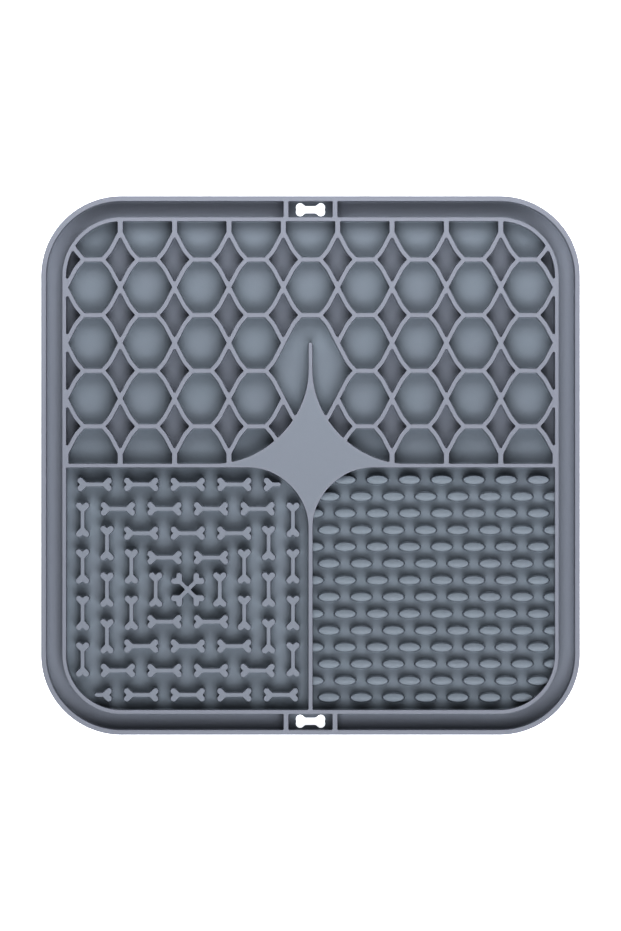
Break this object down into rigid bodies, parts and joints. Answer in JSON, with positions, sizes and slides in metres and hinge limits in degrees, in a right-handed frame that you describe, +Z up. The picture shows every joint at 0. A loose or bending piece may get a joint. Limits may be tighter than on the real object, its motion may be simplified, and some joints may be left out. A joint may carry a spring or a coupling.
{
  "type": "lick mat",
  "caption": "Square moulded silicone lick mat: a rimmed tray with a gutter, a cell lattice, a central star, bone studs and domed oval studs that hold soft pet food.",
  "frame": {"origin": "centre of the flat underside", "axes": "+Z up out of the mat, +Y towards the cell lattice, +X towards the oval studs"},
  "size_m": [0.2, 0.2, 0.0085],
  "materials": {
    "silicone": "matte"
  },
  "bodies": {
    "root": {"mat": "silicone"}
  },
  "joints": []
}
